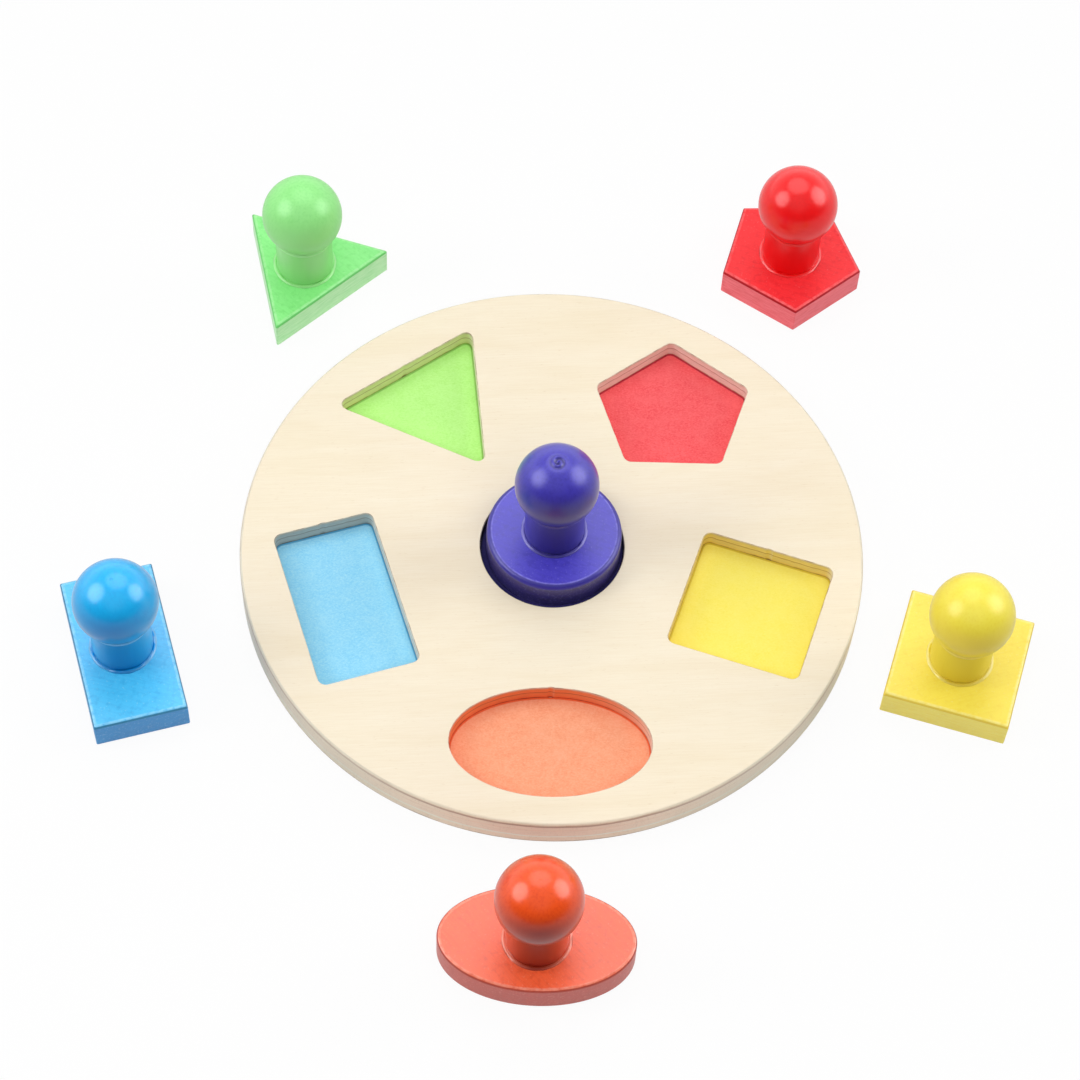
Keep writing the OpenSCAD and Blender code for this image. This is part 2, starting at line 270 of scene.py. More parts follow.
def routed_wall():
    """The routed wall of a recess: plywood edge that has taken up the floor's paint, most at its foot. The
    piece's own attribute gives each recess its stain."""
    material, tree = new_material("routed_ply_with_paint_stain")
    height = add(tree, SPLIT_PLACE, Vector=add(tree, COORDINATES)["Object"])[2]
    share = add(tree, RANGE, Value=height, From_Min=RECESS_Z * MM, From_Max=BOARD_T * MM)[0]
    smear = add(tree, NOISE, Vector=stretched(tree, (260, 260, 90)), Scale=1.0, Detail=3.0)[0]
    shift = add(tree, RANGE, Value=smear, From_Min=0.3, From_Max=0.7, To_Min=-WALL_WAVER,
                To_Max=WALL_WAVER)[0]
    level = add(tree, MATH, {"operation": "ADD"}, _0=share, _1=shift)[0]
    bands = add(tree, RAMP, {"stops": WALL_PLIES}, Fac=level)[0]
    stain = add(tree, ATTRIBUTE, {"attribute_name": "stain"})["Color"]
    stained = add(tree, MIX, TINT, _0=1.0, _6=bands, _7=stain)[2]
    deeper = add(tree, MIX, TINT, _0=1.0, _6=stained, _7=stain)[2]
    # Torn fibres 0.2 mm high and 2 to 3 mm long
    fibre = add(tree, NOISE, Vector=stretched(tree, (300, 300, 3600)), Scale=1.0, Detail=3.0)[0]
    # The stain is deeper at the foot, and the face veneer at the top took up less of it
    colour = coats(tree, stained,
                   (level, 0.3, 0.0, 0.8, deeper),
                   (level, 0.84, 0.96, 0.6, bands),
                   (fibre, 0.45, 0.75, 0.25, paint("#8C7460")))
    bump = add(tree, BUMP, Height=fibre, Strength=0.35, Distance=0.2 * MM)[0]
    return finish_material(material, Base_Color=colour, Normal=bump, Roughness=0.7)


def bare_beech():
    """Bare beech of the dowels: pinkish tan with short darker flecks, half a millimetre wide."""
    material, tree = new_material("bare_beech")
    fleck = add(tree, NOISE, Vector=stretched(tree, (1500, 1500, 260)), Scale=1.0, Detail=3.0)[0]
    stops = ((0.35, "#C79F72"), (0.55, "#DDBE94"), (0.8, "#E6CBA4"))
    colour = add(tree, RAMP, {"stops": stops}, Fac=fleck)[0]
    return finish_material(material, Base_Color=colour, Roughness=0.75)


# Paints

def block_paint(colour_name, deep, plain, light, side, edge, sheen, grain_turn):
    """Satin water-based paint on a sanded wooden block: even colour, with the grain just showing through and
    tiny light specks. Shade is painted deep on the rounded edge; the paint is paler along the edge of the
    flat, and duller on the sawn sides, which drink it. The piece's attribute marks these places."""
    material, tree = new_material(colour_name + "_satin_paint_on_wood")
    deep, plain, light, side, edge = (paint(colour) for colour in (deep, plain, light, side, edge))
    # Raised grain about 0.7 mm apart and 9 mm long
    grain = add(tree, NOISE, Vector=stretched(tree, (110, 1100, 1100), grain_turn), Scale=1.0, Detail=3.0,
                Roughness=0.6)[0]
    # Uneven coverage in patches of about 2 mm, and specks of 0.6 mm where dust was rubbed off
    patch = add(tree, NOISE, Vector=stretched(tree, (480, 480, 480)), Scale=1.0, Detail=4.0, Roughness=0.6)[0]
    speck = add(tree, NOISE, Vector=stretched(tree, (1300, 1300, 1300)), Scale=1.0, Detail=2.0)[0]
    # The sawn sides: fibres 0.4 mm wide and 6 mm long
    sawn = add(tree, NOISE, Vector=stretched(tree, (170, 170, 1500)), Scale=1.0, Detail=4.0,
               Roughness=0.65)[0]
    place = add(tree, ATTRIBUTE, {"attribute_name": "place"})["Color"]
    line, shaded_band, wall = add(tree, SPLIT_COLOUR, Color=place)
    dull = coats(tree, side, (sawn, 0.4, 0.7, 0.45, deep), (speck, 0.55, 0.75, 0.3, light))
    # The rounded edge's band takes painted shade in the edge colour
    colour = coats(tree, plain,
                   (patch, 0.5, 0.3, 0.4, deep),
                   (grain, 0.45, 0.75, 0.3, deep),
                   (speck, 0.62, 0.78, 0.35, light),
                   (wall, 0.0, 1.0, 1.0, dull),
                   (shaded_band, 0.0, 1.0, 0.85, edge))
    # A paler line round the edge of the flat, uneven along its length
    pale_line = add(tree, RANGE, Value=patch, From_Min=0.35, From_Max=0.6, To_Min=0.1, To_Max=0.55)[0]
    pale_share = add(tree, MATH, {"operation": "MULTIPLY"}, _0=line, _1=pale_line)[0]
    colour = add(tree, MIX, BLEND, _0=pale_share, _6=colour, _7=light)[2]
    raised = add(tree, RANGE, Value=speck, To_Max=0.5)[0]
    height = add(tree, MATH, {"operation": "ADD"}, _0=grain, _1=raised)[0]
    bump = add(tree, BUMP, Height=height, Strength=0.3, Distance=0.12 * MM)[0]
    roughness = add(tree, RANGE, Value=patch, From_Min=0.3, From_Max=0.7, To_Min=0.3, To_Max=0.4)[0]
    return finish_material(material, Base_Color=colour, Normal=bump, Roughness=roughness,
                           Specular_IOR_Level=sheen)


def knob_paint(colour_name, deep, plain, low, pale, coat, softness):
    """Gloss paint sprayed on a turned knob: smooth and even, with faint turning rings and a little orange
    peel, under a thin clear coat that softens what it mirrors. Shade is painted in below the ball and in the
    spiral at the pole, and highlights are painted pale on the bead and on the glue ring. The piece's
    attribute marks these places."""
    material, tree = new_material(colour_name + "_gloss_paint_on_turned_wood")
    # Orange peel about 1.2 mm across, turning rings about 0.7 mm apart, and fine grain under the paint
    peel = add(tree, NOISE, Vector=add(tree, COORDINATES)["Object"], Scale=850.0, Detail=1.0)[0]
    rings = add(tree, NOISE, Vector=stretched(tree, (25, 25, 1400)), Scale=1.0, Detail=1.0)[0]
    grain = add(tree, NOISE, Vector=stretched(tree, (1100, 1100, 150)), Scale=1.0, Detail=3.0)[0]
    place = add(tree, ATTRIBUTE, {"attribute_name": "place"})["Color"]
    painted_shade, painted_highlight, _ = add(tree, SPLIT_COLOUR, Color=place)
    # The low colour is painted shade below the ball and in the spiral, the pale one a painted highlight
    colour = coats(tree, paint(plain),
                   (grain, 0.45, 0.75, 0.5, paint(deep)),
                   (painted_shade, 0.0, 1.0, 1.0, paint(low)),
                   (painted_highlight, 0.0, 1.0, 1.0, paint(pale)))
    ridges = add(tree, RANGE, Value=rings, To_Max=0.6)[0]
    height = add(tree, MATH, {"operation": "ADD"}, _0=peel, _1=ridges)[0]
    bump = add(tree, BUMP, Height=height, Strength=0.2, Distance=0.05 * MM)[0]
    return finish_material(material, Base_Color=colour, Normal=bump, Coat_Normal=bump, Roughness=0.4,
                           Specular_IOR_Level=0.1, Coat_Weight=coat, Coat_Roughness=softness, Coat_IOR=1.5)


def floor_paint(colour_name, deep, plain, pale, corner_shade):
    """Thin matt paint on the routed floor of a recess: a felt-like mottle where the fibres stand up, and
    painted shade in a deeper line along the wall, which the piece's attribute marks."""
    material, tree = new_material(colour_name + "_matt_paint_on_routed_wood")
    # Fuzz of raised fibres about 0.6 mm across, and clouds about 6 mm across
    fuzz = add(tree, NOISE, Vector=stretched(tree, (1300, 2000, 1300)), Scale=1.0, Detail=4.0,
               Roughness=0.7)[0]
    cloud = add(tree, NOISE, Vector=stretched(tree, (150, 190, 150)), Scale=1.0, Detail=2.0)[0]
    edge = add(tree, ATTRIBUTE, {"attribute_name": "edge"})["Fac"]
    mottle = add(tree, RAMP, {"stops": ((0.3, deep), (0.5, plain), (0.72, pale))}, Fac=fuzz)[0]
    # Painted shade in the corner along the wall
    colour = coats(tree, mottle, (cloud, 0.35, 0.7, 0.3, paint(pale)), (edge, 0.0, 1.0, 0.9, paint(corner_shade)))
    bump = add(tree, BUMP, Height=fuzz, Strength=0.5, Distance=0.25 * MM)[0]
    return finish_material(material, Base_Color=colour, Normal=bump, Roughness=0.85, Specular_IOR_Level=0.2)


# Working on a mesh as by hand

# Points nearer than this, in metres, are at one height or place
SAME_PLACE = 1e-6
# Sides that turn by more than this, in radians, meet at a corner
CORNER_TURN = 0.5
# A face whose normal leans less than this has no side to it
LEAST_LEAN = 0.01
# A face whose normal rises less than the first stands rather than lies, and one past the second lies flat
STANDING_RISE = 0.5
FLAT_RISE = 0.99


def take(piece):
    """Selects the piece alone."""
    bpy.ops.object.select_all(action="DESELECT")
    piece.select_set(True)
    bpy.context.view_layer.objects.active = piece


def edit(piece):
    """Goes into edit mode on the piece alone, with nothing of it selected."""
    take(piece)
    bpy.ops.object.mode_set(mode="EDIT")
    bpy.ops.mesh.select_mode(type="EDGE")
    bpy.ops.mesh.select_all(action="DESELECT")


def pick(piece, what, test):
    """In edit mode, selects only the edges or faces that pass the test."""
    bpy.ops.mesh.select_mode(type="FACE" if what == "faces" else "EDGE")
    bpy.ops.mesh.select_all(action="DESELECT")
    shape = bmesh.from_edit_mesh(piece.data)
    for element in getattr(shape, what):
        if test(element):
            element.select_set(True)
    shape.select_flush_mode()
    bmesh.update_edit_mesh(piece.data)


def leave(piece, smooth_angle=35):
    """Turns the faces outwards, leaves edit mode and smooths all but the sharp edges."""
    bpy.ops.mesh.select_mode(type="FACE")
    bpy.ops.mesh.select_all(action="SELECT")
    bpy.ops.mesh.normals_make_consistent(inside=False)
    bpy.ops.object.mode_set(mode="OBJECT")
    bpy.ops.object.shade_smooth_by_angle(angle=math.radians(smooth_angle))


def even_normals(piece):
    """Keeps flat faces flat beside rounded edges."""
    take(piece)
    bpy.ops.object.modifier_add(type="WEIGHTED_NORMAL")
    modifier = piece.modifiers[-1]
    modifier.keep_sharp = True
    bpy.ops.object.modifier_apply(modifier=modifier.name)


def prism(name, corners, size, centre, turn, low, high):
    """A flat shape pulled up into a prism: a circle of so many corners, sized in X and Y, turned and set in
    place, all in millimetres."""
    bpy.ops.object.select_all(action="DESELECT")
    bpy.ops.mesh.primitive_circle_add(vertices=corners, radius=1, fill_type="NGON")
    piece = bpy.context.object
    piece.name = piece.data.name = name
    # The first corner comes to +X, or a square's side does, before the shape is sized
    first = 45 if corners == 4 else 90
    piece.data.transform(Matrix.Rotation(math.radians(-first), 4, "Z"))
    unit = math.sqrt(0.5) if corners == 4 else 1
    piece.scale = (size[0] / 2 / unit * MM, size[1] / 2 / unit * MM, 1)
    bpy.ops.object.transform_apply(location=False, rotation=False, scale=True)
    piece.rotation_euler = (0, 0, math.radians(turn))
    piece.location = (centre[0] * MM, centre[1] * MM, low * MM)
    bpy.ops.object.transform_apply(location=True, rotation=True, scale=True)
    edit(piece)
    bpy.ops.mesh.select_all(action="SELECT")
    bpy.ops.mesh.extrude_region_move(TRANSFORM_OT_translate={"value": (0, 0, (high - low) * MM)})
    bpy.ops.mesh.select_all(action="SELECT")
    bpy.ops.mesh.normals_make_consistent(inside=False)
    return piece


def upright(edge):
    """Whether an edge stands upright."""
    a, b = (v.co for v in edge.verts)
    return (a.xy - b.xy).length < SAME_PLACE


def level_at(height):
    """A test for edges or faces that lie at one height, in millimetres."""
    return lambda element: all(abs(v.co.z - height * MM) < SAME_PLACE for v in element.verts)


def stands(face):
    """Whether a face is nearer upright than level."""
    return abs(face.normal.z) < STANDING_RISE


def at_corner(edge):
    """Whether an edge lies where two sides meet, upright or over the rounded edges."""
    sides = [face.normal.xy for face in edge.link_faces if face.normal.xy.length > LEAST_LEAN]
    return len(sides) == 2 and sides[0].angle(sides[1]) > CORNER_TURN


def round_edges(piece, test, radius, segments, corner_angle=90):
    """Rounds the picked edges to a radius. The angle is the one between the two faces."""
    pick(piece, "edges", test)
    offset = radius * MM / math.tan(math.radians(corner_angle / 2))
    bpy.ops.mesh.bevel(offset=offset, offset_type="OFFSET", segments=segments, profile=0.5, affect="EDGES")


def cut(piece, cutter):
    """Takes the cutter's shape out of the piece."""
    take(piece)
    bpy.ops.object.modifier_add(type="BOOLEAN")
    modifier = piece.modifiers[-1]
    modifier.operation = "DIFFERENCE"
    modifier.solver = "EXACT"
    modifier.object = cutter
    bpy.ops.object.modifier_apply(modifier=modifier.name)
    bpy.data.objects.remove(cutter)


def finish_piece(piece, body, slot, *nodes):
    """Puts a finished piece on its body, in place of its CAD nodes."""
    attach(piece, body)
    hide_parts(*nodes)


# Sizes of the board and its shapes, the same as the frame's

BOARD_R = 115.0
BASE_T = 5.5
BOARD_T = 13.0
PAINT_T = 0.2
RECESS_Z = BASE_T + PAINT_T
# The middle recess is shallower than the other five
ROUND_RECESS_DEPTH = 4.2
RECESS_GAP = 1.7
RECESS_CORNER_R = 3.0
RIM_TOP_R = 1.2
RIM_FOOT_R = 0.8
BLOCK_T = 12.5
BLOCK_TOP_R = 1.2
ROUND_BLOCK_TOP_R = 1.8
BLOCK_FOOT_R = 0.6
# The upright corners of the blocks are hardly sanded, less than the frame's own
SANDED_CORNER_R = 0.45
# How many corners stand in for a round outline
ROUND_CORNERS = 160
RIM_CORNERS = 288


def across(corners, side):
    """The width of the circle through a regular polygon's corners."""
    return side / math.sin(math.pi / corners)


def ring_distance(rim_wall, half_side, apothem):
    """How far from the middle a recess sits when its outer corners leave that much wood to the rim."""
    return math.sqrt((BOARD_R - rim_wall) ** 2 - half_side ** 2) - apothem


class Shape:
    """One of the six shapes: the size and turn of its block, and the size, place and turn of its recess."""

    def __init__(self, name, corners, size, grow, bearing, distance, recess_turn, peg_turn, corner_angle):
        self.name = name
        self.corners = corners
        self.size = size
        self.recess_size = tuple(s + grow for s in size)
        self.centre = (distance * math.cos(math.radians(bearing)), distance * math.sin(math.radians(bearing)))
        self.recess_turn = recess_turn
        self.recess_foot = BOARD_T - ROUND_RECESS_DEPTH if name == "circle" else BASE_T
        self.peg_turn = peg_turn
        self.corner_angle = corner_angle


def regular_shape(name, corners, side, rim_wall, bearing, peg_turn):
    """A triangle or pentagon, whose recess points one corner at the middle of the board."""
    recess_side = side + 2 * RECESS_GAP * math.tan(math.pi / corners)
    apothem = recess_side / 2 / math.tan(math.pi / corners)
    size = across(corners, side)
    grow = across(corners, recess_side) - size
    distance = ring_distance(rim_wall, recess_side / 2, apothem)
    angle = 180 - 360 / corners
    return Shape(name, corners, (size, size), grow, bearing, distance, bearing + 180, peg_turn, angle)


def oblong_shape(name, width, length, rim_wall, bearing, peg_turn):
    """A square or oblong, whose recess turns one side to the middle of the board."""
    half_width, half_length = width / 2 + RECESS_GAP, length / 2 + RECESS_GAP
    distance = ring_distance(rim_wall, half_length, half_width)
    return Shape(name, 4, (width, length), 2 * RECESS_GAP, bearing, distance, bearing, peg_turn, 90)


ELLIPSE_SIZE = (68.8, 39.9)
ELLIPSE_RIM_WALL = 11.5
ELLIPSE_DISTANCE = BOARD_R - ELLIPSE_RIM_WALL - ELLIPSE_SIZE[1] / 2 - RECESS_GAP
CIRCLE_SIZE = (49.7, 49.7)
SHAPES = (
    regular_shape("triangle", 3, 57.0, 12.7, 126, 12.7),
    regular_shape("pentagon", 5, 33.5, 11.5, 54, 128.5),
    oblong_shape("square", 46.2, 46.2, 10.6, -18, -16.3),
    oblong_shape("rectangle", 34.1, 62.3, 12.0, 198, 16.4),
    Shape("ellipse", ROUND_CORNERS, ELLIPSE_SIZE, 2 * RECESS_GAP, -90, ELLIPSE_DISTANCE, 0, -1.5, 0),
    Shape("circle", ROUND_CORNERS, CIRCLE_SIZE, 2 * RECESS_GAP, 0, 0, 0, 0, 0),
)

# Colours of each shape. Block: deep, plain and light paint, its sides, the painted shade on its rounded edge,
# and how much it shines. Knob: deep and plain paint, the painted shade below the ball, the painted highlight
# on the bead and glue ring, how much clear coat it has, and how soft that is. Floor of the recess: deep,
# plain and pale paint, and the painted shade along its edge. Wall of the recess: the stain on it
COLOURS = {
    "triangle": {
        "block": ("#66DE68", "#90F48C", "#BCFAB4", "#CBFFC4", "#66D468", 0.45),
        "knob": ("#84E67C", "#9CF490", "#98E88A", "#BCFAB0", 0.6, 0.26),
        "floor": ("#AEF27A", "#BDFB8B", "#C8FF9A", "#8CC25C"),
        "wall": "#EEF6C4",
    },
    "pentagon": {
        "block": ("#DE1424", "#FF343A", "#FF8084", "#FF7C86", "#AC0E1C", 0.2),
        "knob": ("#F2040E", "#FF080E", "#FA060C", "#FF6468", 0.85, 0.21),
        "floor": ("#EE4A52", "#F85C60", "#FF7477", "#B4263A"),
        "wall": "#FFF6F4",
    },
    "square": {
        "block": ("#F6D83A", "#FFEA54", "#FFF4A8", "#FFEE70", "#ECCE44", 0.45),
        "knob": ("#F6DE3C", "#FFEE50", "#E6CC3C", "#FFF29A", 0.6, 0.26),
        "floor": ("#F9E95C", "#FEEE66", "#FFF27E", "#DCC23C"),
        "wall": "#F8E894",
    },
    "rectangle": {
        "block": ("#1CA0E4", "#46CAFF", "#A8E6FF", "#1C90D8", "#146E9E", 0.75),
        "knob": ("#0CA6F4", "#10BCFF", "#0280C8", "#8CCCF4", 0.95, 0.21),
        "floor": ("#7FD1F7", "#94DDFD", "#AEE8FF", "#4A9CC8"),
        "wall": "#CAD4D8",
    },
    "ellipse": {
        "block": ("#D83A12", "#FF602A", "#FFAA90", "#CC4430", "#AC2C16", 0.95),
        "knob": ("#EC3E06", "#FF5610", "#921E04", "#FFA088", 0.95, 0.21),
        "floor": ("#F4956C", "#FCA67E", "#FFB995", "#EC5C28"),
        "wall": "#FF9662",
    },
    "circle": {
        "block": ("#3228A2", "#4C42CA", "#9E98EC", "#3F3872", "#2A2090", 0.6),
        "knob": ("#2A2094", "#3E34BA", "#302880", "#8A84D8", 1.0, 0.3),
        # The middle recess's floor and walls are near black: painted shade in the narrow gap round its block
        "floor": ("#2A2560", "#302A6A", "#383274", "#1E1A38"),
        "wall": "#1E1A38",
    },
}
PAINT_SLOTS = {"triangle": "green", "pentagon": "red", "square": "yellow", "rectangle": "blue",
               "ellipse": "orange", "circle": "purple"}
GRAIN_TURNS = {"triangle": 40, "pentagon": 20, "square": -16, "rectangle": 15, "ellipse": 48, "circle": 25}


# The board

# The rim, with its rounded edges, lies within this of the outline
RIM_MARGIN = 4.0
EASED_EDGE_R = 0.45
CUTTER_OVERRUN = 2
# Where the router bit went in: bearing of that wall from the recess's middle. The bit bites a little deeper
# there
BIT_R = 3.1
BITE = 0.3
BIT_OVERRUN = 1
BIT_CORNERS = 40
ROUTER_MARKS = {"triangle": 126, "square": 72, "rectangle": 108, "ellipse": 90}
# Faces whose normals rise less than these belong to the rim and to a recess's wall
RIM_RISE = 0.93
WALL_RISE = 0.9
# How much paler the walls that face left are painted, as painted light from the left
LEFT_WALL_LIGHT = 0.9
# The floor's paint: the gap to the wall, the width of each ring along it, and how far it laps up the wall
FLOOR_GAP = 0.05
FLOOR_RING = 0.35
FLOOR_LAP = 0.3


def inside_rim(edge):
    """Whether an edge lies well inside the rim."""
    return all(v.co.xy.length < (BOARD_R - RIM_MARGIN) * MM for v in edge.verts)


def recess_cutter(shape):
    """The shape of a recess, with its upright corners as round as the router bit. It goes through the plate,
    apart from the middle one."""
    foot = shape.recess_foot if shape.name == "circle" else shape.recess_foot - CUTTER_OVERRUN
    cutter = prism(shape.name + "_cutter", shape.corners, shape.recess_size, shape.centre, shape.recess_turn,
                   foot, BOARD_T + CUTTER_OVERRUN)
    if shape.corner_angle:
        round_edges(cutter, upright, RECESS_CORNER_R, 8, shape.corner_angle)
    leave(cutter)
    return cutter


def router_mark(shape):
    """The shallow scallop that the router bit left where it went in, as a shape to cut away."""
    bearing = math.radians(ROUTER_MARKS[shape.name])
    # A triangle's side lies a quarter of its circle's width from the middle
    wall = shape.recess_size[0] / 4 if shape.name == "triangle" else shape.recess_size[1] / 2
    reach = wall - BIT_R + BITE
    centre = (shape.centre[0] + reach * math.cos(bearing), shape.centre[1] + reach * math.sin(bearing))
    cutter = prism(shape.name + "_mark", BIT_CORNERS, (2 * BIT_R, 2 * BIT_R), centre, 0, BASE_T - BIT_OVERRUN,
                   BOARD_T + BIT_OVERRUN)
    leave(cutter)
    return cutter


def make_top_plate(veneer, edge, wall):
    """The upper plate: a disc with a rounded rim and six routed recesses with lightly eased edges."""
    plate = prism("board_top_plate", RIM_CORNERS, (2 * BOARD_R, 2 * BOARD_R), (0, 0), 0, BASE_T, BOARD_T)
    round_edges(plate, level_at(BOARD_T), RIM_TOP_R, 5)
    leave(plate)
    for shape in SHAPES:
        cut(plate, recess_cutter(shape))
        if shape.name in ROUTER_MARKS:
            cut(plate, router_mark(shape))
    edit(plate)
    top = level_at(BOARD_T)
    round_edges(plate, lambda e: top(e) and inside_rim(e) and len(e.link_faces) == 2
                and any(stands(f) for f in e.link_faces), EASED_EDGE_R, 3)
    leave(plate)
    even_normals(plate)
    for material in (veneer, edge, wall):
        plate.data.materials.append(material)
    stain = plate.data.attributes.new("stain", "FLOAT_COLOR", "CORNER")
    for face in plate.data.polygons:
        centre = face.center
        near = min(SHAPES, key=lambda s: (centre.xy / MM - Vector(s.centre)).length)
        if abs(face.normal.z) < RIM_RISE and centre.xy.length > (BOARD_R - RIM_MARGIN) * MM:
            face.material_index = 1
        elif abs(face.normal.z) < WALL_RISE:
            face.material_index = 2
        # Walls that face left are painted paler: painted light
        lit = LEFT_WALL_LIGHT * max(0.0, -face.normal.x) ** 2 if near.name != "circle" else 0.0
        for corner in face.loop_indices:
            stain.data[corner].color = [s + (1 - s) * lit for s in paint(COLOURS[near.name]["wall"])]
    finish_piece(plate, "board", "plywood", "top_plate")


def make_base_plate(veneer, edge):
    """The lower plate: a plain disc with its foot edge rounded."""
    plate = prism("board_base_plate", RIM_CORNERS, (2 * BOARD_R, 2 * BOARD_R), (0, 0), 0, 0, BASE_T)
    round_edges(plate, level_at(0), RIM_FOOT_R, 4)
    leave(plate)
    even_normals(plate)
    for material in (veneer, edge):
        plate.data.materials.append(material)
    for face in plate.data.polygons:
        if abs(face.normal.z) < RIM_RISE:
            face.material_index = 1
    finish_piece(plate, "board", "plywood", "base_plate")


def make_floor(shape, material):
    """A coat of paint on a recess's floor, which laps a little way up the wall. The two rings along the wall
    are marked for the painted shade along it."""
    size = tuple(s - 2 * FLOOR_GAP for s in shape.recess_size)
    top = shape.recess_foot + PAINT_T
    floor = prism(shape.name + "_floor_paint", shape.corners, size, shape.centre, shape.recess_turn,
                  shape.recess_foot, top)
    if shape.corner_angle:
        round_edges(floor, upright, RECESS_CORNER_R - FLOOR_GAP, 8, shape.corner_angle)
    pick(floor, "faces", lambda f: f.normal.z > FLAT_RISE)
    bpy.ops.mesh.inset(thickness=FLOOR_RING * MM, depth=0)
    bpy.ops.mesh.inset(thickness=FLOOR_RING * MM, depth=0)
    level = level_at(top)
    pick(floor, "edges", lambda e: level(e) and any(stands(f) for f in e.link_faces))
    bpy.ops.transform.translate(value=(0, 0, FLOOR_LAP * MM))
    pick(floor, "faces", lambda f: f.normal.z > FLAT_RISE and len(f.verts) > 4)
    inner = set(v.index for v in bmesh.from_edit_mesh(floor.data).verts if v.select)
    leave(floor)
    edge = floor.data.attributes.new("edge", "FLOAT", "POINT")
    for vertex in floor.data.vertices:
        edge.data[vertex.index].value = 0.0 if vertex.index in inner else 1.0
    floor.data.materials.append(material)
    finish_piece(floor, "board", PAINT_SLOTS[shape.name] + "_floor_paint", shape.name + "_floor")


# The pegs

BALL_D = 30.5
BALL_RISE = 30.5
BALL_R = BALL_D / 2
NECK_R = 11.0
# The turned profile below the ball: height above the block, how far it stands out from the neck, and how
# much of the bead's own height it takes. The groove comes first, then the bead
BEAD_PROFILE = (
    (20.2, 0.2, 0), (19.95, 0, 0), (19.8, -0.12, 0), (19.6, -0.15, 0.1), (19.4, -0.1, 0.4), (19.15, 0, 0.75),
    (18.85, 0, 1), (18.5, 0, 0.85), (18.2, 0, 0.45), (17.9, 0, 0.15), (17.5, 0, 0), (14.0, -0.05, 0),
    (10.0, -0.05, 0), (6.0, -0.05, 0), (3.0, -0.02, 0), (1.5, 0, 0), (0.9, -0.02, 0),
)
# The crease at the neck's foot and the ring of glue and paint that was squeezed out round it
FOOT_PROFILE = (
    (0.6, -0.1), (0.38, -0.22), (0.26, -0.15), (0.32, 0.1), (0.46, 0.32), (0.5, 0.56), (0.42, 0.8),
    (0.26, 1.02), (0.1, 1.18), (0.0, 1.26),
)
# The ball is cut open at this height above the block
BALL_CUT = 20.5
# The cap round the pole: how far out it is cut, and how far out its rings lie
CAP_CUT = 4.5
CAP_RINGS = (4.0, 3.5, 3.0, 2.6, 2.2, 1.85, 1.5, 1.2, 0.9, 0.6, 0.3, 0.12)
# How far each knob's bead stands out, the mark that the lathe's centre left, its depth and radius, and the
# depth of the spiral round it
KNOB_MARKS = {
    "triangle": (0.4, 0.2, 0.45, 0),
    "pentagon": (0.05, 0.05, 0.4, 0),
    "square": (0.25, 0.05, 0.4, 0),
    "rectangle": (0.45, 0.3, 0.5, 0),
    "ellipse": (0.1, 0.12, 0.5, 0),
    "circle": (0.1, 0.3, 0.6, 0.9),
}
# The spiral round the middle ball's pole: how far out it goes, the step of each turn and the flat eye
SPIRAL_REACH, SPIRAL_PITCH, SPIRAL_EYE = 3.6, 2.0, 0.4
# The lumps in the glue ring: below which height and between which distances from the neck they lie, how deep
# and how wide they are
LUMP_TOP = 0.55
LUMP_START, LUMP_END = 0.05, 1.2
LUMP_DEPTH, LUMP_WIDTH = 0.35, 5.0
# Painted shade under the ball: it deepens from the first height above the block down to the second,
# less to the sides
SHADE_TOP, SHADE_FOOT = 44.0, 35.0
SHADE_AT_SIDES = 0.25
# Painted shade in the spiral's groove, in full from two thirds of its depth on
SPIRAL_SHADE = 1.5
# Where the bead lies, how strong the painted highlight on the widest one is, and how far that one stands out
BEAD_FOOT, BEAD_TOP = 18.3, 19.5
BEAD_HIGHLIGHT, WIDEST_BEAD = 0.7, 0.45
# Up to which height the glue ring gets a painted highlight, how strong it is to the sides, and how much less
# in front
GLUE_TOP = 0.6
GLUE_HIGHLIGHT, GLUE_HIGHLIGHT_LESS = 0.8, 0.74
# The paler line round a block's flat: its width on the flat, and how far down the rounding it goes. On the
# round block it hardly reaches the rounding
PALE_LINE_WIDTH = 0.4
PALE_LINE_DROP = 0.25
ROUND_BLOCK_DROP = 0.01
# The sides start this much above the foot of the rounding
SIDE_OVERLAP = 0.05


def ring_extrude(axis, height, radius, rings, base):
    """Extrudes the selected open ring through a list of (height, radius) pairs about an upright axis."""
    for new_height, new_radius in rings:
        bpy.ops.mesh.extrude_region_move(TRANSFORM_OT_translate={"value": (0, 0, (new_height - height) * MM)})
        share = new_radius / radius
        centre = (axis.x, axis.y, (base + new_height) * MM)
        bpy.ops.transform.resize(value=(share, share, 1), center_override=centre)
        height, radius = new_height, new_radius


def roughen(piece, axis, test, depth, width, seed):
    """Pushes the points that pass the test in and out along their normals by a soft noise."""
    shift = Vector((seed, seed / 3, 0))
    for vertex in piece.data.vertices:
        if test((vertex.co.xy - axis).length / MM, vertex.co.z / MM):
            spot = vertex.co / MM / width
            lump = noise.noise(spot + shift) + 0.5 * noise.noise(spot * 2 + shift)
            vertex.co += vertex.normal * lump * depth * MM


def spiral_share(out):
    """How deep the spiral is at a place near the pole, from 0 to 1."""
    r = out.length / MM
    if r > SPIRAL_REACH:
        return 0.0
    turn = math.atan2(out.y, out.x) + 2 * math.pi * r / SPIRAL_PITCH
    return math.sqrt(1 - r / SPIRAL_REACH) * min(1, r / SPIRAL_EYE) * (0.5 + 0.5 * math.cos(turn))


